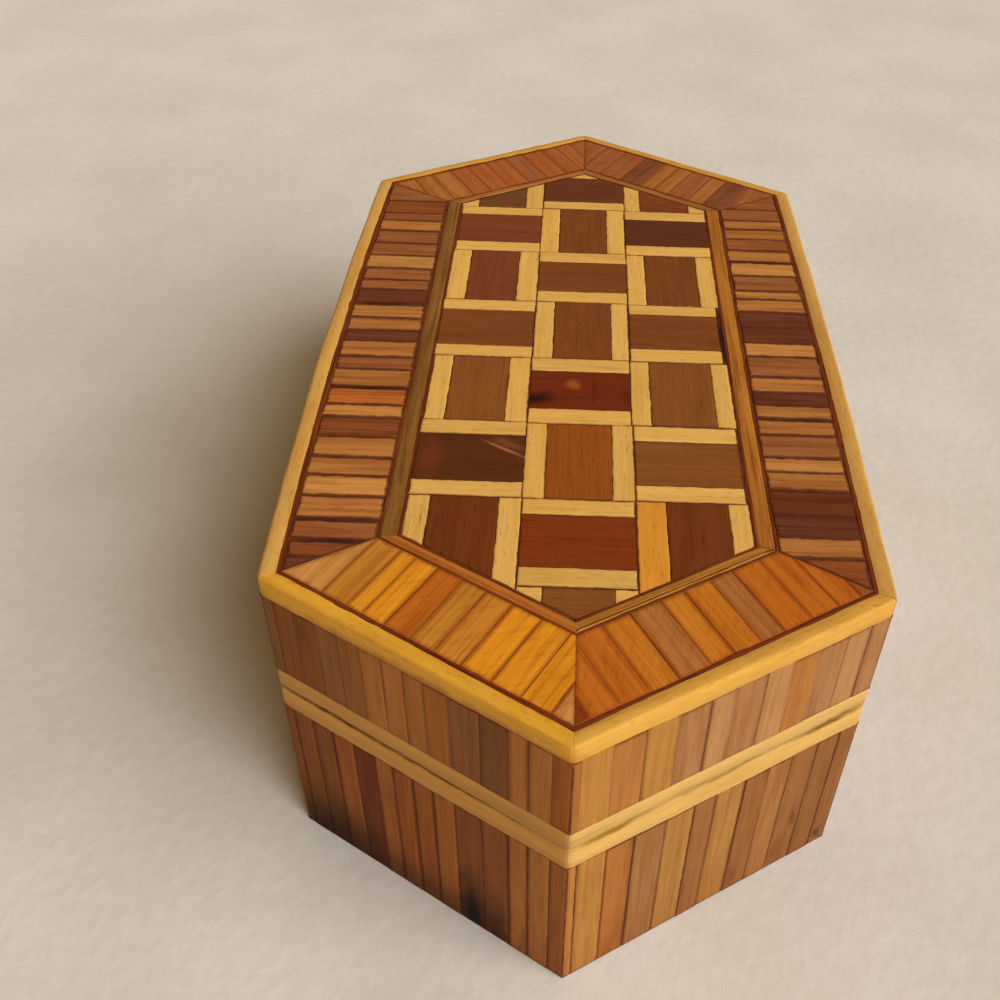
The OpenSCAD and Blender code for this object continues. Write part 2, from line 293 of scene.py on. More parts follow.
def wood(name, deep, fibre=0.3, bands=0.4, band_width=1.0, pores=0.3, blotch=0.15, edge=0.35,
         edge_from=0.35, edge_colour=(70, 32, 14), roughness=0.5, specular=0.08, tint=None, spots=(),
         painted_foot_shade=None, curl=0.0):
    """Wood whose grain follows each piece. deep is what its colour is multiplied by in the dark grain,
    and edge_colour what it turns to at the joints, in sRGB. spots are stains, figures and painted shade,
    painted_foot_shade darkens it towards the floor as painted shade, and curl is the share of slanting
    streaks."""
    tree = Tree(name)
    coords, colour, rim = grain_coords(tree, tint)
    fibres = tree.stretched(coords, *FIBRES)
    growth = tree.stretched(coords, (0.05, 0.9 / band_width, 0.5), 2.0, 0.5, 0.8)
    flecks = tree.stretched(coords, *FLECKS)
    patches = tree.stretched(coords, *PATCHES)
    fleck = tree.math("MULTIPLY", tree.ramp(flecks, 0.6, 0.72), pores)
    dark = tree.math("MULTIPLY", tree.ramp(growth, 0.42, 0.66), bands)
    dark = tree.math("MULTIPLY_ADD", tree.ramp(fibres, 0.35, 0.75), fibre, dark)
    if curl:
        curls = tree.stretched(tree.turned(coords, CURL_SLANT), *CURLS)
        dark = tree.math("MULTIPLY_ADD", tree.ramp(curls, 0.48, 0.68), curl, dark)
    dark = tree.math("MINIMUM", tree.math("ADD", dark, fleck), 1.0)
    toned = tree.mix(dark, colour, (*deep, 1.0), "MULTIPLY")
    toned = tree.scaled(toned, tree.math("MULTIPLY_ADD", patches, 2 * blotch, 1 - blotch))
    if edge:
        # Joints turn to edge_colour, a stain; on the rims, whose edge values lie along the seam, it is dirt
        # and painted shade
        soaked = tree.math("MULTIPLY_ADD", fibres, 0.8, tree.math("SUBTRACT", rim, 0.4))
        soaked = tree.math("MULTIPLY", tree.ramp(soaked, edge_from, 1.0), edge)
        toned = tree.mix(soaked, toned, linear(*edge_colour))
    # Painted shade: the colour is multiplied down towards the floor
    if painted_foot_shade:
        height = tree.add("SeparateXYZ", {0: tree.own}, "Z")
        height = tree.math("MULTIPLY_ADD", growth, FOOT_SHIFT, height)
        low = tree.math("SUBTRACT", 1.0, tree.ramp(height, FOOT_LOW, FOOT_HIGH))
        toned = tree.mix(low, toned, (*painted_foot_shade, 1.0), "MULTIPLY")
    # Stains, figures and painted shade are mixed in
    for place, radii, turn, strength, stain_or_shade_colour in spots:
        share = tree.math("MULTIPLY", spot(tree, place, radii, turn), strength)
        toned = tree.mix(share, toned, stain_or_shade_colour)
    gloss = tree.math("MULTIPLY_ADD", fibres, 0.2, roughness - 0.1)
    height = tree.math("SUBTRACT", tree.math("MULTIPLY", fibres, 0.6), fleck)
    return tree.finish(toned, gloss, specular, height, RELIEF, RELIEF_HEIGHT)


def glue_material():
    """Dark old glue and filler, slightly uneven."""
    tree = Tree("glue_line")
    uneven = tree.ramp(tree.noise(0.6 / MM, 2.0), 0.35, 0.7)
    colour = tree.mix(uneven, GLUE, linear(112, 58, 30))
    for place, radii in deep_glue():
        colour = tree.mix(spot(tree, place, radii, 0), colour, linear(34, 15, 11))
    return tree.finish(colour, 0.6, 0.2)


def cloth_material():
    """Pale felted cloth for the floor."""
    tree = Tree("pale_cloth")
    broad = tree.noise(0.035 / MM, 4.0)
    fuzz = tree.noise(0.5 / MM, 5.0)
    blend = tree.math("MULTIPLY_ADD", broad, 0.7, tree.math("MULTIPLY", fuzz, 0.3))
    colour = tree.mix(tree.ramp(blend, 0.3, 0.7), linear(208, 199, 188), linear(219, 211, 202))
    return tree.finish(colour, 0.95, 0.1, fuzz, 0.25, 0.4 * MM)


# Reading the frame

def solids(node):
    """The separate solids of a CAD node, each as the list of its flat faces, and the mesh they belong to."""
    shell = bmesh.new()
    shell.from_mesh(frame["nodes"][node].data)
    bmesh.ops.remove_doubles(shell, verts=shell.verts, dist=WELD)
    bmesh.ops.dissolve_limit(shell, angle_limit=FLAT, verts=shell.verts, edges=shell.edges)
    seen, found = set(), []
    for first in shell.faces:
        if first in seen:
            continue
        seen.add(first)
        stack, solid = [first], []
        while stack:
            solid.append(stack.pop())
            for other in [face for edge in solid[-1].edges for face in edge.link_faces]:
                if other not in seen:
                    seen.add(other)
                    stack.append(other)
        found.append(solid)
    return shell, found


def centre(solid):
    """Middle of a solid's corners."""
    corners = [v.co for face in solid for v in face.verts]
    return sum(corners, Vector()) / len(corners)


def outward(node):
    """Which way a row of staves faces, and how far from the middle of the box."""
    shell, found = solids(node)
    upright = [f for solid in found for f in solid if abs(f.normal.z) < SQUARE]
    fronts = [f for f in upright if f.normal.dot(f.calc_center_median()) > 0]
    front = max(fronts, key=lambda f: f.calc_area())
    normal = Vector((front.normal.x, front.normal.y, 0)).normalized()
    distance = normal.dot(front.verts[0].co)
    shell.free()
    return normal, distance


OUTWARD = {face: outward("base_staves_" + face) for face in FACES}


def plan(inset, end_inset=None):
    """Corners of the box's plan, inset from its outside, anticlockwise from the front point. The
    pointed ends can have an inset of their own."""
    sides = []
    for face, (normal, distance) in OUTWARD.items():
        on_end = end_inset is not None and face not in ("left", "right")
        sides.append((normal, distance - (end_inset if on_end else inset)))
    corners = []
    for i in range(6):
        (n, d), (m, e) = sides[i - 1], sides[i]
        lines = Matrix(((n.x, n.y), (m.x, m.y)))
        corners.append(lines.inverted() @ Vector((d, e)))
    return corners


def face_of(point):
    """The face of the box that a point lies nearest to."""
    return max(FACES, key=lambda face: OUTWARD[face][0].dot(point) - OUTWARD[face][1])


def on_face(face, along, height):
    """A point on one of the box's faces, so far along it anticlockwise and up it, in millimetres."""
    corner = plan(0)[FACES.index(face)]
    run = UP.cross(OUTWARD[face][0])
    return Vector((corner.x, corner.y, 0)) + (run * along + UP * height) * MM


# The long sides' bulge starts at the chips' inner ends on top, and at the staves' backs on the sides
HALF_SIDE = abs(plan(0)[1].y)
STRIPS_LOW, STRIPS_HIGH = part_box("parquet_strips")
TOP_Z = STRIPS_LOW.z
TOP_BULGE = (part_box("inner_line")[1].x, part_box("outer_line")[1].x)
WALL_BULGE = (plan(GLUE_BACK)[1].x, plan(GLUE_DEPTH)[1].x)


def bulged(point):
    """A point moved out with the box's long sides, which bulge a little halfway along."""
    x, y = abs(point.x), abs(point.y)
    start, full = TOP_BULGE if point.z > TOP_Z else WALL_BULGE
    if y >= HALF_SIDE or x <= start:
        return point
    share = min(1.0, (x - start) / (full - start)) * (1 - (y / HALF_SIDE) ** 2)
    out = BOW["right" if point.x > 0 else "left"] * share
    return point + Vector((math.copysign(out, point.x), 0, 0))


# Building pieces

class Pieces:
    """Points, faces and attributes of the wooden pieces that make up one object."""

    def __init__(self):
        self.points, self.faces, self.slots = [], [], []
        self.grain, self.tint, self.edge = [], [], []

    def add(self, rings, edges, axes, shift, tint, slot=0, closed=False):
        """Rings of points joined in order, with a cap at each end, or closed round to the first ring.
        axes are the directions along the grain, across it and into the wood, and shift moves the grain."""
        first, n, count = len(self.points), len(rings[0]), len(rings)
        for ring, ring_edges in zip(rings, edges):
            for p, edge in zip(ring, ring_edges):
                self.points.append(bulged(p))
                self.grain += [p.dot(axis) / MM + start for axis, start in zip(axes, shift)]
                self.tint += tint
                self.edge.append(edge)
        for r in range(count if closed else count - 1):
            here, there = first + r * n, first + (r + 1) % count * n
            for i in range(n):
                j = (i + 1) % n
                self.faces.append((here + i, here + j, there + j, there + i))
        if not closed:
            self.faces.append(tuple(first + i for i in reversed(range(n))))
            self.faces.append(tuple(first + (count - 1) * n + i for i in range(n)))
        self.slots += [slot] * (len(self.faces) - len(self.slots))

    def build(self, name, materials):
        """The finished object."""
        mesh = bpy.data.meshes.new(name)
        mesh.from_pydata(self.points, [], self.faces)
        for attribute, kind, key, values in (("grain", "FLOAT_VECTOR", "vector", self.grain),
                                             ("tint", "FLOAT_COLOR", "color", self.tint),
                                             ("edge", "FLOAT", "value", self.edge)):
            mesh.attributes.new(attribute, kind, "POINT").data.foreach_set(key, values)
        mesh.polygons.foreach_set("material_index", self.slots)
        shell = bmesh.new()
        shell.from_mesh(mesh)
        bmesh.ops.recalc_face_normals(shell, faces=shell.faces)
        shell.to_mesh(mesh)
        shell.free()
        mesh.shade_smooth()
        mesh.set_sharp_from_angle(angle=SHARP)
        for material in materials:
            mesh.materials.append(material)
        return place_object(name, mesh)


# Sides that turn by less than this, as a sine, are moved as if they ran straight on
STRAIGHT_ON = 0.05


def offset_polygon(points, insets):
    """A polygon with each side moved inwards by its own distance."""
    n, moved = len(points), []
    for i in range(n):
        before, here, after = points[i - 1], points[i], points[(i + 1) % n]
        a, b = (here - before).normalized(), (after - here).normalized()
        na, nb = Vector((-a.y, a.x)), Vector((-b.y, b.x))
        lines = Matrix((na, nb))
        if abs(lines.determinant()) < STRAIGHT_ON:
            moved.append(here + nb * insets[i])
        else:
            moved.append(lines.inverted() @ Vector((na.dot(here) + insets[i - 1], nb.dot(here) + insets[i])))
    return moved


def inner_polygon(points, insets):
    """A polygon inset like offset_polygon, by less where the full insets would turn a side round."""
    n = len(points)
    for share in (1.0, 0.6, 0.3, 0.1):
        moved = offset_polygon(points, [inset * share for inset in insets])
        sides = [(moved[i] - moved[i - 1]).dot(points[i] - points[i - 1]) for i in range(n)]
        if min(sides) > 0:
            return moved
    return [p.copy() for p in points]


def sides_of(corners):
    """A polygon's sides, each as its two corners."""
    return zip(corners, corners[1:] + corners[:1])


def sample_sides(corners, counts):
    """Points along a polygon's sides, with a given number on each."""
    return [a.lerp(b, s / count) for (a, b), count in zip(sides_of(corners), counts) for s in range(count)]


def per_point(values, counts, at_corner):
    """The values of a polygon's sides, for each point along them. at_corner joins those of two sides."""
    spread = []
    for i, count in enumerate(counts):
        spread += [at_corner(values[i - 1], values[i])] + [values[i]] * (count - 1)
    return spread


def side_pulls(corners, counts):
    """Which way a raggedly cut edge moves in, at each point along a polygon's sides."""
    runs = [(b - a).normalized() for a, b in sides_of(corners)]
    inward = [Vector((-run.y, run.x)) for run in runs]
    return per_point(inward, counts, lambda before, here: (before + here).normalized())


def room_inside(points):
    """How far a polygon's sides can move in before it closes up, roughly."""
    n = len(points)
    area = sum(points[i - 1].x * points[i].y - points[i].x * points[i - 1].y for i in range(n)) / 2
    length = sum((points[i] - points[i - 1]).length for i in range(n))
    return 2 * abs(area) / length


def outline_of(front, flat):
    """Corners of the side that shows, those right behind them, and which of its edges are mitred."""
    outline = []
    for loop in front.loops:
        back = [e.other_vert(loop.vert) for e in loop.vert.link_edges if front not in e.link_faces][0]
        beside = [f for f in loop.edge.link_faces if f is not front][0]
        corner, leans = flat(loop.vert.co), abs(beside.normal.dot(front.normal)) > SQUARE
        if outline and (corner - outline[-1][0]).length < SHORTEST:
            outline[-1][2] = leans
        else:
            outline.append([corner, flat(back.co), leans])
    if (outline[0][0] - outline[-1][0]).length < SHORTEST:
        outline.pop()
    return zip(*outline)


# Sections of an eased edge and of a rounded mitre: shares of its width inwards, and down from the face
EASED = [(0.0, 1.0), (0.3, 0.3), (1.0, 0.0)]
ROUNDED = [(0.134, 0.232), (0.552, 0.059), (1.0, 0.0)]
# Mitred sides meet past the mitre by MITRE_LAP, so that no gap shows, and are rounded over MITRE_ARRIS,
# in millimetres
MITRE_LAP, MITRE_ARRIS = 0.12, 0.6
# A cut edge is stained in full at its joint, and less and less over STAIN_SPAN where it laps the joint
STAIN, STAIN_SPAN = 1.1, 0.09 * MM
# Ragged cuts follow two noises: waves to a millimetre, height, and how far apart the noises are taken
CUT_WAVES = ((1.1, 1.0, 0), (3.1, 0.5, 50))
# Pieces tilt by up to TILT degrees and stand proud by LIE millimetres, and stains take up to SOAK_ROOM of
# the way to a piece's middle
TILT, LIE, SOAK_ROOM = 0.12, (-0.02, 0.01), 0.45


def plate(pieces, solid, facing, grain, tint, rng, gap, ragged, bevel, soak, slot=0):
    """A piece cut from thin wood. facing is the side that shows, and grain the way its fibres run.
    gap is a range, or a function of an edge's middle and of the way out of it. Lengths are in
    millimetres."""
    front = max(solid, key=lambda f: f.normal.dot(facing))
    middle = front.calc_center_median()
    across = facing.cross(grain)

    def flat(point):
        return Vector(((point - middle).dot(grain), (point - middle).dot(across)))

    corners, backs, mitred = outline_of(front, flat)
    depth = max((middle - v.co).dot(facing) for f in solid for v in f.verts)
    insets = []
    for (a, b), lapped in zip(sides_of(corners), mitred):
        if lapped:
            insets.append(-MITRE_LAP * MM)
        elif callable(gap):
            half = (a + b) / 2
            away = Vector((b.y - a.y, a.x - b.x)).normalized()
            insets.append(gap(middle + grain * half.x + across * half.y, grain * away.x + across * away.y))
        else:
            insets.append(rng.uniform(*gap) * MM)
    widths = [(MITRE_ARRIS if m else bevel) * MM for m in mitred]
    counts = [max(1, round((b - a).length / CUT_STEP)) for a, b in sides_of(corners)]
    outer = inner_polygon(corners, insets)
    behind = inner_polygon(backs, insets)
    pulls = side_pulls(outer, counts)
    stains = [0.0 if m else min(1.0, max(0.0, STAIN + inset / STAIN_SPAN))
              for m, inset in zip(mitred, insets)]
    edges = per_point(stains, counts, max)
    seed = rng.uniform(0, 1000)
    strays = []
    for p in sample_sides(outer, counts):
        waves = [noise.noise(Vector((p.x / MM * scale, p.y / MM * scale, seed + apart))) * height
                 for scale, height, apart in CUT_WAVES]
        strays.append(sum(waves) * ragged * MM)
    tilts = [math.tan(math.radians(rng.uniform(-TILT, TILT))) for _ in range(2)]
    lift = rng.uniform(*LIE) * MM

    def place(points, drops, loose=1.0):
        placed = []
        for p, pull, stray, drop in zip(points, pulls, strays, drops):
            q = p + pull * stray
            height = (lift + tilts[0] * q.x + tilts[1] * q.y) * loose - drop
            placed.append(middle + grain * q.x + across * q.y + facing * height)
        return placed

    total = sum(counts)
    rings = [place(sample_sides(behind, counts), [depth] * total, 0.0)]
    for level in range(len(EASED)):
        shares = [(ROUNDED if m else EASED)[level] for m in mitred]
        down = [w * share[1] for w, share in zip(widths, shares)]
        drops = per_point(down, counts, min)
        insides = inner_polygon(outer, [w * share[0] for w, share in zip(widths, shares)])
        rings.append(place(sample_sides(insides, counts), drops))
    soaked = min(soak * MM, SOAK_ROOM * room_inside(outer))
    inside = inner_polygon(outer, [w + soaked for w in widths])
    rings.append(place(sample_sides(inside, counts), [0.0] * total))
    shift = [rng.uniform(0, 500) for _ in range(3)]
    pieces.add(rings, [edges] * 4 + [[0.0] * total], (grain, across, facing), shift, tint, slot)


# The most of a section's side that the easing of one corner takes up
MOST_EASED = 0.4


def eased_section(section, side, fillet, inner_fillet):
    """A section's points with each sharp corner made into three. side points to the box's outside."""
    eased, n = [], len(section)
    middle = sum(section, Vector()) / n
    for i, p in enumerate(section):
        a, b = section[i - 1] - p, section[(i + 1) % n] - p
        if math.pi - a.angle(b) < SHARP:
            eased.append(p)
            continue
        size = fillet if (p - middle).dot(side) > 0 else inner_fillet
        reach = [min(size * MM, MOST_EASED * arm.length) for arm in (a, b)]
        first, last = p + a.normalized() * reach[0], p + b.normalized() * reach[1]
        eased += [first, first * 0.25 + p * 0.5 + last * 0.25, last]
    return eased


def narrowed(section, across, span):
    """A section squeezed into a part of its own width, across running from 0 to 1."""
    places = [p.dot(across) for p in section]
    low, high = min(places), max(places)
    moved = []
    for p, place in zip(section, places):
        share = (place - low) / (high - low)
        moved.append(p + across * (low + (span[0] + share * (span[1] - span[0])) * (high - low) - place))
    return moved


# Bars turn by twice this at their mitres
HALF_TURN = math.radians(30)


def worn_end(points, along, side, distance, arris):
    """A section near a bar's mitred end, with its outer points worn to an arc there. along points away
    from the end, and distance and arris are how far the section and the arc's start are from it."""
    outer = max(p.dot(side) for p in points)
    turn = HALF_TURN * (1 - distance / arris)
    radius = arris / math.tan(HALF_TURN)
    inward, shift = radius * (1 - math.cos(turn)), arris - radius * math.sin(turn) - distance
    worn = []
    for p in points:
        share = max(0.0, 1 - (outer - p.dot(side)) / arris)
        worn.append(p - side * inward * share + along * shift * share)
    return worn


# Bars run on past their mitres by END_LAP, so that no gap shows there. Dirt lies in the mitres right of
# SOILED_MITRES
END_LAP = 0.06 * MM
SOILED_MITRES = 5 * MM


def wander(point):
    """A smooth random step sideways and up, the same on every run, as noise_vector's isn't."""
    return Vector((noise.noise(point), noise.noise(point + Vector((31.7, 47.1, 19.3)))))


def bar(pieces, solid, tint, rng, spans, fillet, wave, wave_length, sink=0.0, fine=0.0, step=BAR_STEP,
        soiled_and_shaded_at=None, arris=0.0, inner_fillet=1.0):
    """A moulding or thin line along one face, with eased corners and a slightly uneven run. spans are the
    parts of its width that it is split into, soiled_and_shaded_at a height that dirt and painted shade lie
    at, arris how far its mitred ends are worn round, and inner_fillet the most that its inner corners are
    eased."""
    side = OUTWARD[face_of(centre(solid))][0]
    along = UP.cross(side)
    start = min(solid, key=lambda f: f.normal.dot(along))
    corners = list(start.verts)
    lead = min(range(len(corners)), key=lambda i: (round(corners[i].co.z / MM, 2), -corners[i].co.dot(side)))
    first, last = [], []
    for v in corners[lead:] + corners[:lead]:
        end = [e.other_vert(v) for e in v.link_edges if start not in e.link_faces][0]
        first.append(v.co - along * END_LAP)
        last.append(end.co + along * END_LAP)
    length = max((b - a).length for a, b in zip(first, last))
    count = max(4, round(length / step))
    arris *= MM
    worn = [arris * share for share in (0.0, 0.25, 0.5, 0.75)] if arris else [0.0]
    places = worn + [arris + (length - 2 * arris) * r / count for r in range(0 if arris else 1, count)]
    places += [length - place for place in reversed(worn)]
    for span in spans:
        seed = rng.uniform(0, 1000)
        rings, ring_edges = [], []
        for place in places:
            section = narrowed([a.lerp(b, place / length) for a, b in zip(first, last)], side, span)
            section = eased_section(section, side, fillet, min(fillet, inner_fillet))
            if place < arris:
                section = worn_end(section, along, side, place, arris)
            elif length - place < arris:
                section = worn_end(section, -along, side, length - place, arris)
            moved = []
            for p in section:
                q = p / MM / wave_length
                shift = wander(Vector((q.x, q.y, q.z * 2 + seed))) * wave
                if fine:
                    shift += wander(p / MM * 0.9 + Vector((seed, 0, 0))) * fine
                moved.append(p + (side * shift.x + UP * (shift.y - sink)) * MM)
            rings.append(moved)
            if soiled_and_shaded_at is None:
                at_end = place in (0.0, length) and moved[0].x > SOILED_MITRES
                ring_edges.append([1.0 if at_end else 0.0] * len(moved))
            else:
                # Near the seam the edge value darkens the rim with dirt and painted shade
                outer = max(p.dot(side) for p in moved)
                ring_edges.append([max(0.0, 1.0 - abs(p.z - soiled_and_shaded_at) / SEAM_SOIL_AND_SHADE_REACH)
                                   * max(0.0, 1.0 - (outer - p.dot(side)) / SEAM_SOIL_AND_SHADE_DEPTH) for p in moved])
        shift = [rng.uniform(0, 500) for _ in range(3)]
        pieces.add(rings, ring_edges, (along, side, UP), shift, tint)


# Putting the finished objects in place

def settle(pieces, node, materials, slot):
    """The finished object takes the place of its CAD node."""
    made = pieces.build(node + "_finished", materials)
    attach(made, frame["nodes"][node]["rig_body"])
    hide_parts(node)


def vary(colour, rng, spread):
    """A tone a little lighter or darker, and a little redder or yellower."""
    light = 1 + rng.uniform(-spread, spread)
    warm = rng.uniform(-spread, spread) * 0.4
    return (colour[0] * light * (1 + warm), colour[1] * light, colour[2] * light * (1 - warm), 1.0)


def make_row(node, facing, run, grain, letters, palette, material, slot, cut):
    """A row of staves or chips along one face, in the order of their letters."""
    rng = random.Random(node)
    shell, found = solids(node)
    found.sort(key=lambda s: centre(s).dot(run))
    letters = letters or rng.choices(MIXED_STAVES, k=len(found))
    pieces = Pieces()
    for letter, solid in zip(letters, found):
        plate(pieces, solid, facing, grain, vary(palette[letter], rng, 0.06), rng, **cut)
    settle(pieces, node, [material], slot)
    shell.free()


# Staves' ends this low are on the floor, and are held this far clear of it
FLOOR_END, FLOOR_GAP = 0.1 * MM, 0.06 * MM


def stave_gap(spread, rng):
    """How far the edges of one face's staves are cut back."""

    def gap(middle, away):
        return FLOOR_GAP if middle.z < FLOOR_END and away.z < 0 else rng.uniform(*spread) * MM

    return gap


def make_staves(materials):
    """The upright staves round the base and the lid."""
    cuts = {"base": ((-0.085, 0.02), dict(ragged=0.04, bevel=0.03, soak=0.5)),
            "lid": ((-0.1, 0.01), dict(ragged=0.02, bevel=0.02, soak=0.5))}
    for part, (spread, cut) in cuts.items():
        for face, (facing, _) in OUTWARD.items():
            node = f"{part}_staves_{face}"
            cut["gap"] = stave_gap(spread, random.Random(node + " joints"))
            make_row(node, facing, UP.cross(facing), UP, STAVES.get(node), STAVE_TONES,
                     materials[part + "_stave"], "stave_wood", cut)


# Joints between chips: soft and thin on the ends, and dark, wide and ragged on the long sides
CLOSE_JOINTS = dict(gap=(-0.05, -0.02), ragged=0.03, bevel=0.02, soak=0.5)
OPEN_JOINTS = dict(ragged=0.14, bevel=0.05, soak=0.35)
# Gaps at the long sides' chips, and at the wide joints within WIDE_REACH of their places, in millimetres
OPEN_GAP, WIDE_GAP, WIDE_REACH = (-0.02, 0.12), 0.24, 1.5


def side_chip_gap(face, rng):
    """How far the edges of the chips on one long side are cut back from their joints."""
    corner, run = on_face(face, 0, 0), UP.cross(OUTWARD[face][0])

    def gap(middle, away):
        place = (middle - corner).dot(run) / MM
        wide = any(abs(place - joint) < WIDE_REACH for joint in WIDE_JOINTS[face])
        return (WIDE_GAP if wide and abs(away.dot(run)) > ALIGNED else rng.uniform(*OPEN_GAP)) * MM

    return gap


def make_chips(materials):
    """The chips of the lid's border, whose grain runs in from the edge."""
    for face, (facing, _) in OUTWARD.items():
        if face in ("left", "right"):
            palette, material = SIDE_CHIP_TONES, materials["chip"]
            cut = dict(OPEN_JOINTS, gap=side_chip_gap(face, random.Random(face)))
        else:
            palette, material, cut = END_CHIP_TONES, materials["end_chip"], CLOSE_JOINTS
        make_row("border_chips_" + face, UP, UP.cross(facing), facing, CHIPS[face], palette, material,
                 "chip_wood", cut)


def parquet_grain(solid):
    """The way a strip or block of the parquet runs, which is along its longest side that isn't slanted."""
    front = max(solid, key=lambda f: f.normal.z)

    def span(axis):
        lengths = [e.calc_length() for e in front.edges
                   if abs((e.verts[1].co - e.verts[0].co).normalized().dot(axis)) > PARALLEL]
        return round(max(lengths, default=0) / MM, 2)

    return max(Vector((1, 0, 0)), Vector((0, 1, 0)), key=span)


# The parquet's cells, across and along: the first edge that they are counted from, and their size
STARTS = (STRIPS_LOW.x, ROW_JOINT)
PITCH = ((STRIPS_HIGH.x - STRIPS_LOW.x) / COLUMNS, ROW_LENGTH)
# Gaps at its slanted ends, at its right-hand side, between cells and within them, in millimetres, and
# how far the last two kinds of joints stray
SLANT_GAP, RIGHT_GAP, CELL_GAP, STRIP_GAP = 0.04, 0.06, (0.0, 0.07), -0.02
CELL_STRAY, STRIP_STRAY = 0.08, 0.22
# An edge this near to the right-hand side, or to a cell's edge as a share of its size, lies on it
AT_RIGHT, AT_CELL = 0.3 * MM, 0.03


def cell_of(point):
    """Row and column of a point, both counted from the back left."""
    across, along = [int((point[i] - STARTS[i]) // PITCH[i]) for i in (0, 1)]
    return min(len(BLOCKS) - 1, max(0, JOINT_ROW - along)), min(COLUMNS - 1, max(0, across))


def parquet_gap(middle, away):
    """How far the edge of one of the parquet's pieces is cut back from its joint."""
    axis = 0 if abs(away.x) > ALIGNED else 1 if abs(away.y) > ALIGNED else None
    row, column = cell_of(middle - away * MM)
    if axis is None:
        return SLANT_GAP * MM
    if axis == 0 and away.x > 0 and abs(middle.x - STRIPS_HIGH.x) < AT_RIGHT:
        return CREVICES.get((row, column), RIGHT_GAP * MM)
    place = (middle[axis] - STARTS[axis]) / PITCH[axis]
    if abs(place - round(place)) < AT_CELL:
        joint = random.Random(f"cell {axis} {round(place)} {(row, column)[axis]}")
        return joint.uniform(*CELL_GAP) * MM - joint.uniform(-CELL_STRAY, CELL_STRAY) * MM * away[axis]
    side = "low" if place % 1 < 0.5 else "high"
    joint = random.Random(f"strip {axis} {side} {row} {column}")
    shift = UNEVEN.get((row, column, side), joint.uniform(-STRIP_STRAY, STRIP_STRAY) * MM)
    return STRIP_GAP * MM - shift * away[axis]


def make_parquet(materials):
    """The basket-weave parquet: pale strips and dark blocks."""
    woods = {"parquet_strips": "pale_wood", "parquet_blocks_plain": "walnut_wood",
             "parquet_blocks_red": "red_wood"}
    for node, slot in woods.items():
        strips = node == "parquet_strips"
        rng = random.Random(node)
        shell, found = solids(node)
        found.sort(key=lambda s: (round(centre(s).y / MM, 2), round(centre(s).x / MM, 2)))
        pieces = Pieces()
        for solid in found:
            row, column = cell_of(centre(solid))
            letter = BLOCKS[row][column]
            if strips:
                orange = (row, column) == ORANGE_CELL and centre(solid).x < block_place(row, column, 0, 0).x
                tone, wood_slot = vary(ORANGE_PALE if orange else PALE, rng, 0.06), 0
            else:
                tone, wood_slot = vary(BLOCK_TONES[letter], rng, 0.04), FIGURED_BLOCKS.get(letter, 0)
            plate(pieces, solid, UP, parquet_grain(solid), tone, rng, parquet_gap,
                  ragged=0.09, bevel=0.03, soak=0.25, slot=wood_slot)
        kinds = ["pale"] if strips else ["block", "knotty", "streaked"]
        settle(pieces, node, [materials[kind] for kind in kinds], slot)
        shell.free()


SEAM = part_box("lid_rim_right")[0].z
# Dirt and painted shade in the seam reach this far from it, and this far in
SEAM_SOIL_AND_SHADE_REACH = 0.45 * MM
SEAM_SOIL_AND_SHADE_DEPTH = 0.8 * MM


def bar_kinds():
    """Material, slot, colour and shape of each node that is made of bars."""
    line = dict(fillet=0.03, wave=0.08, wave_length=2.5, sink=0.03, fine=0.05, step=0.5 * MM)
    # The rims are darkened along the seam between lid and base, with dirt and painted shade
    rim = dict(fillet=0.12, wave=0.07, wave_length=8, fine=0.04, soiled_and_shaded_at=SEAM, arris=0.6)
    liner = dict(fillet=0.15, wave=0.02, wave_length=9)
    kinds = {"lid_edging": ("edging", "pale_wood", EDGING, dict(
        fillet=0.2, wave=0.1, wave_length=9, fine=0.05, arris=0.6, inner_fillet=0.05))}
    for name in ("outer", "inner", "field"):
        kinds[name + "_line"] = ("line", "dark_line", LINE, line)
    kinds["purfling"] = ("purfling", "purfling_wood", None, dict(
        fillet=0.06, wave=0.06, wave_length=5, sink=0.01))
    for face in FACES:
        kinds["base_rim_" + face] = ("rim", "pale_wood", RIM, rim)
        kinds["lid_rim_" + face] = ("rim", "pale_wood", RIM, rim)
        kinds["base_liner_" + face] = ("inside", "pale_wood", INSIDE, liner)
    return kinds


# The front right purfling is made of two strips with a dark line between them
WHOLE, SPLIT = ((0.0, 1.0),), ((0.0, 0.64), (0.76, 1.0))


def make_bars(materials):
    """Edging, rims, liners and the thin lines and purfling of the lid's top."""
    for node, (kind, slot, colour, shape) in bar_kinds().items():
        rng = random.Random(node)
        shell, found = solids(node)
        found.sort(key=lambda s: FACES.index(face_of(centre(s))))
        pieces = Pieces()
        for solid in found:
            face = face_of(centre(solid))
            tone = vary(OWN_BARS.get((kind, face)) or colour or PURFLING[face], rng, 0.05)
            spans = SPLIT if (node, face) == ("purfling", "front_right") else WHOLE
            bar(pieces, solid, tone, rng, spans, **shape)
        settle(pieces, node, [materials[kind]], slot)
        shell.free()


def plan_rings(levels):
    """The box's plan at several insets and heights, as rings whose points correspond. Their points lie
    close enough together to follow the long sides' bulge."""
    counts = [round((b - a).length / RING_STEP) for a, b in sides_of(plan(0))]
    return [[Vector((p.x, p.y, z)) for p in sample_sides(plan(*insets), counts)] for *insets, z in levels]


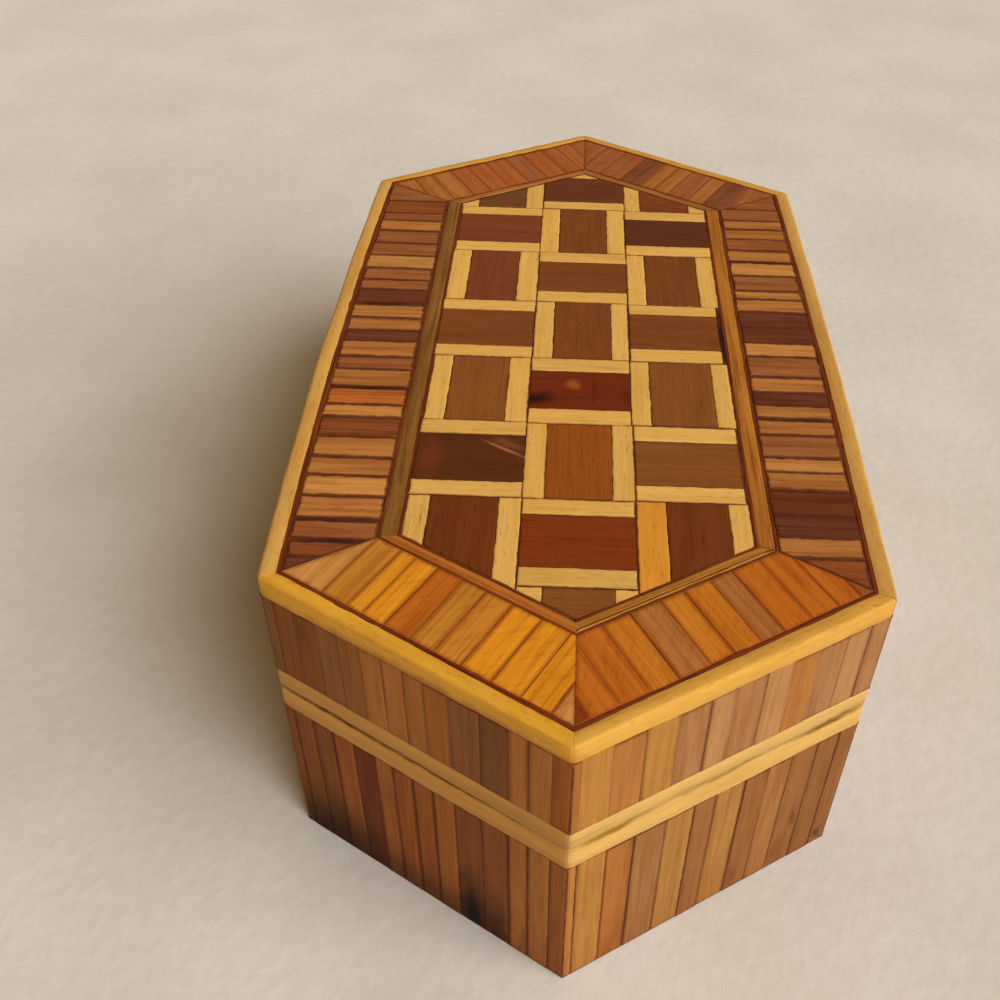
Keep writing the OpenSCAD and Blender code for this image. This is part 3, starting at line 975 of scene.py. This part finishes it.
def make_glue(materials):
    """Dark glue that shows in the joints, just under the surface."""
    axes = (Vector((0, 1, 0)), Vector((1, 0, 0)), UP)
    beds = {}
    for part in ("base", "lid"):
        low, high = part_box(f"{part}_staves_right")
        bottom, top = low.z + GLUE_ENDS, high.z - GLUE_ENDS
        levels = [(GLUE_DEPTH, bottom), (GLUE_DEPTH, top), (GLUE_BACK, top), (GLUE_BACK, bottom)]
        beds[f"{part}_stave_glue"] = (part, levels)
    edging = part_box("lid_edging")[1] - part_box("outer_line")[1]
    insets = (edging.x, edging.y * abs(OUTWARD["front_left"][0].y))
    heights = (STRIPS_LOW.z + GLUE_ENDS, STRIPS_HIGH.z - GLUE_DEPTH)
    beds["lid_top_glue"] = ("lid", [(*insets, z) for z in heights])
    for name, (body, levels) in beds.items():
        rings = plan_rings(levels)
        bed = Pieces()
        unstained = [[0.0] * len(ring) for ring in rings]
        bed.add(rings, unstained, axes, (0, 0, 0), GLUE, closed=len(levels) > 2)
        made = bed.build(name, [materials["glue"]])
        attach(made, body)


def dress_casing(materials):
    """The boards under the veneers keep their CAD shape and get bare wood."""
    nodes = ["base_floor", "lid_panel"]
    nodes += [f"{part}_wall_{face}" for part in ("base", "lid") for face in FACES]
    for node in nodes:
        mesh = frame["nodes"][node].data
        mesh.materials.clear()
        mesh.materials.append(materials["casing"])


# Stains and figures in the wood

def face_stains_and_shade(rows):
    """Stains and painted shade of a wood. The rows hold a face, the place along it and up it, the half
    lengths along the face, into it and up it, in millimetres, the strength and the colour."""
    stains = []
    for face, along, up, radii, strength, *srgb in rows:
        normal = OUTWARD[face][0]
        turn = math.degrees(math.atan2(normal.x, -normal.y))
        stains.append((on_face(face, along, up), radii, turn, strength, linear(*srgb)))
    return stains


def block_place(row, column, right, back):
    """A point on a block, measured in millimetres from the middle of its cell."""
    cell = (column, JOINT_ROW - row)
    x, y = [STARTS[i] + (cell[i] + 0.5) * PITCH[i] for i in (0, 1)]
    return Vector((x + right * MM, y + back * MM, STRIPS_HIGH.z))


def block_stains(row, column, rows):
    """Stains of one block's wood. The rows hold the place to the right of the cell's middle and behind
    it, the half lengths, the turn from above in degrees, the strength and the colour."""
    return [(block_place(row, column, right, back), radii, turn, strength, linear(*srgb))
            for right, back, radii, turn, strength, *srgb in rows]


def deep_glue():
    """Places and radii of the widest gaps in the lid's top, which are nearly black."""
    found = [(block_place(3, 2, 6.0, -0.5), (1.6, 9, 2))]
    for face, joints in WIDE_JOINTS.items():
        for joint in joints:
            found.append((on_face(face, joint, TOP_Z / MM) - OUTWARD[face][0] * 6 * MM, (7, 1.0, 2)))
    return found


# The first two rows are painted shade: they darken the front left face near the floor, most towards its left
# end. The other rows are stains
STAVE_STAINS_AND_SHADE = [
    ("front_left", 5.0, 0.0, (13.0, 3, 12.0), 0.9, 42, 15, 3),
    ("front_left", 20.0, 0.0, (12.0, 3, 7.0), 0.6, 56, 24, 8),
    ("front_left", 27.4, 1.0, (2.2, 3, 10.5), 0.8, 54, 24, 9),
    ("front_left", 24.3, 1.5, (2.3, 3, 13.0), 1.0, 24, 12, 5),
    ("front_right", 29.6, 9.0, (0.6, 2, 3.0), 0.7, 88, 50, 24),
    ("front_right", 28.0, 4.0, (1.2, 2, 4.0), 0.45, 96, 56, 28),
    ("front_right", 34.4, 2.0, (0.9, 2, 1.6), 0.8, 70, 34, 16),
    ("front_right", 21.8, 2.5, (0.8, 2, 3.5), 0.5, 96, 54, 28),
]
# Dirt and painted shadow along the seam of the two front faces, darker on the left one, which lies in shade
SEAM_UP = SEAM / MM
SEAM_DIRT_AND_SHADE = [
    ("front_left", 8.0, SEAM_UP, (14.0, 0.9, 0.5), 1.0, 92, 52, 12),
    ("front_left", 22.0, SEAM_UP, (12.0, 0.9, 0.42), 0.9, 96, 56, 14),
    ("front_right", 5.0, SEAM_UP, (7.0, 0.9, 0.7), 1.0, 142, 100, 18),
    ("front_right", 18.0, SEAM_UP + 0.1, (10.0, 0.9, 0.6), 0.9, 142, 102, 28),
    ("front_right", 31.0, SEAM_UP + 0.1, (7.0, 0.9, 0.8), 1.0, 118, 80, 20),
]
# Painted shade on the edging's lower arris on the front left face, which turns browner there
EDGING_ARRIS_SHADE = [("front_left", 18.0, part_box("lid_edging")[0].z / MM, (30.0, 2, 1.3), 0.75, 164, 98, 36)]
KNOT = [
    (-0.9, 1.2, (1.3, 1.2, 2), 0, 0.75, 170, 84, 34),
    (-5.0, -1.6, (2.6, 1.7, 2), 0, 0.95, 34, 16, 12),
    (1.6, 0.2, (0.5, 3.4, 2), 0, 0.5, 70, 24, 14),
    (5.6, -1.0, (1.2, 3.0, 2), 0, 0.5, 72, 24, 12),
]
PALE_STREAK = [
    (-4.4, 0, (1.8, 4.5, 2), 0, 0.6, 122, 54, 30),
    (4.0, 2.4, (2.6, 1.0, 2), -28, 0.5, 140, 84, 48),
    (3.6, 1.5, (3.6, 0.3, 2), -30, 0.9, 168, 106, 62),
]


def make_materials():
    """The woods and the glue. The woods take their tones from the pieces, except the casing."""
    moulding = dict(fibre=0.25, bands=0.3, band_width=1.6)
    chip = dict(fibre=0.4, bands=0.45, pores=0.25, edge=0.85)
    block = dict(fibre=0.4, bands=0.2, band_width=1.5, pores=0.5, blotch=0.08, edge=0.5, roughness=0.42)
    return {
        "pale": wood("pale_strip_wood", (0.66, 0.5, 0.3), fibre=0.25, bands=0.2, band_width=1.2, pores=0.5,
                     blotch=0.08, edge=0.55, edge_colour=(140, 84, 40), edge_from=0.5),
        # The edging's spot is painted shade on its lower arris at the front left
        "edging": wood("edging_wood", (0.72, 0.58, 0.4), pores=0.6, edge=0.3, spots=face_stains_and_shade(EDGING_ARRIS_SHADE),
                       **moulding),
        # The rims turn to edge_colour along the seam and take the seam's spots: dirt and painted shadow
        "rim": wood("rim_wood", (0.72, 0.58, 0.4), pores=0.2, blotch=0.1, edge=0.5, edge_from=0.5,
                    edge_colour=(112, 76, 24), specular=0.06, spots=face_stains_and_shade(SEAM_DIRT_AND_SHADE), **moulding),
        "inside": wood("liner_wood", (0.7, 0.6, 0.45), roughness=0.6),
        "casing": wood("casing_wood", (0.68, 0.58, 0.46), fibre=0.35, bands=0.35, band_width=2.5,
                       roughness=0.65, tint=CASING, edge=0.0),
        "block": wood("block_wood", (0.6, 0.5, 0.42), **block),
        "knotty": wood("knotty_block_wood", (0.6, 0.45, 0.4), spots=block_stains(4, 1, KNOT), **block),
        "streaked": wood("streaked_block_wood", (0.6, 0.5, 0.42), spots=block_stains(5, 0, PALE_STREAK),
                         **block),
        "chip": wood("side_chip_wood", (0.5, 0.36, 0.27), edge_from=0.25, edge_colour=(84, 38, 22),
                     **chip),
        "end_chip": wood("end_chip_wood", (0.7, 0.52, 0.35), edge_from=0.0, edge_colour=(142, 68, 22),
                         curl=0.28, **chip),
        "lid_stave": wood("lid_stave_wood", (0.68, 0.57, 0.42), fibre=0.35, edge=0.6, edge_from=0.1,
                          edge_colour=(106, 54, 30), specular=0.04),
        # The base staves take painted shade towards the floor, besides their stains
        "base_stave": wood("base_stave_wood", (0.66, 0.53, 0.38), fibre=0.4, edge=0.7, edge_from=0.2,
                           edge_colour=(88, 40, 18), specular=0.04, spots=face_stains_and_shade(STAVE_STAINS_AND_SHADE),
                           painted_foot_shade=(0.88, 0.82, 0.76)),
        "line": wood("line_wood", (0.5, 0.38, 0.34), fibre=0.5, bands=0.8, band_width=0.25, pores=0.2,
                     edge=0.0, roughness=0.55),
        "purfling": wood("purfling_wood", (0.5, 0.38, 0.24), fibre=0.5, bands=0.5, band_width=0.6,
                         pores=0.4, edge=0.4),
        "glue": glue_material(),
    }


def make_floor():
    """A wide pale floor."""
    mesh = bpy.data.meshes.new("floor")
    half = 1.5
    corners = [(x * half, y * half, 0) for x, y in ((-1, -1), (1, -1), (1, 1), (-1, 1))]
    mesh.from_pydata(corners, [], [(0, 1, 2, 3)])
    mesh.materials.append(cloth_material())
    place_object("floor", mesh)


# The key light's strength, softness and direction, in degrees from +X and above the floor, and the fill
KEY_ENERGY, KEY_ANGLE, KEY_COLOUR = 4.1, 56, (0.93, 0.97, 1.0)
KEY_HEADING, KEY_HEIGHT = -35, 35
FILL_STRENGTH, FILL_COLOUR = 0.25, (1.0, 0.68, 0.28, 1.0)


def make_light():
    """A soft key light from the front right and a warm even fill."""
    world = bpy.data.worlds.new("fill")
    bpy.context.scene.world = world
    world.use_nodes = True
    background = world.node_tree.nodes["Background"]
    background.inputs["Color"].default_value = FILL_COLOUR
    background.inputs["Strength"].default_value = FILL_STRENGTH
    lamp = bpy.data.lights.new("key", "SUN")
    lamp.energy = KEY_ENERGY
    lamp.angle = math.radians(KEY_ANGLE)
    lamp.color = KEY_COLOUR
    key = place_object("key", lamp)
    heading, height = math.radians(KEY_HEADING), math.radians(KEY_HEIGHT)
    direction = Vector((math.cos(heading), math.sin(heading), math.tan(height)))
    key.rotation_mode = "QUATERNION"
    key.rotation_quaternion = direction.to_track_quat("Z", "Y")


# The photograph's view: focal length and middle of the picture in its pixels, and the camera's place,
# and its heading, downward tilt and roll in degrees
PICTURE = 1000
FOCAL_PX = 1120.8
MIDDLE_PX = (560, 430)
SENSOR = 36.0
CAMERA_AT = Vector((-1.697, -114.221, 123.331)) * MM
HEADING, TILT_DOWN, ROLL = 0.306, 39.81, 1.717


def make_camera():
    data = bpy.data.cameras.new("camera")
    data.sensor_width = SENSOR
    data.lens = FOCAL_PX / PICTURE * SENSOR
    data.shift_x = 0.5 - MIDDLE_PX[0] / PICTURE
    data.shift_y = MIDDLE_PX[1] / PICTURE - 0.5
    data.clip_start, data.clip_end = 1 * MM, 10.0
    camera = place_object("camera", data)
    turn = Matrix()
    for degrees, axis in ((HEADING, "Z"), (90 - TILT_DOWN, "X"), (ROLL, "Z")):
        turn = turn @ Matrix.Rotation(math.radians(degrees), 4, axis)
    camera.matrix_world = Matrix.Translation(CAMERA_AT) @ turn
    bpy.context.scene.camera = camera


make_camera()
make_light()
make_floor()
finishes = make_materials()
for make in (make_staves, make_chips, make_parquet, make_bars, make_glue, dress_casing):
    make(finishes)

bpy.context.scene.view_settings.view_transform = "Standard"
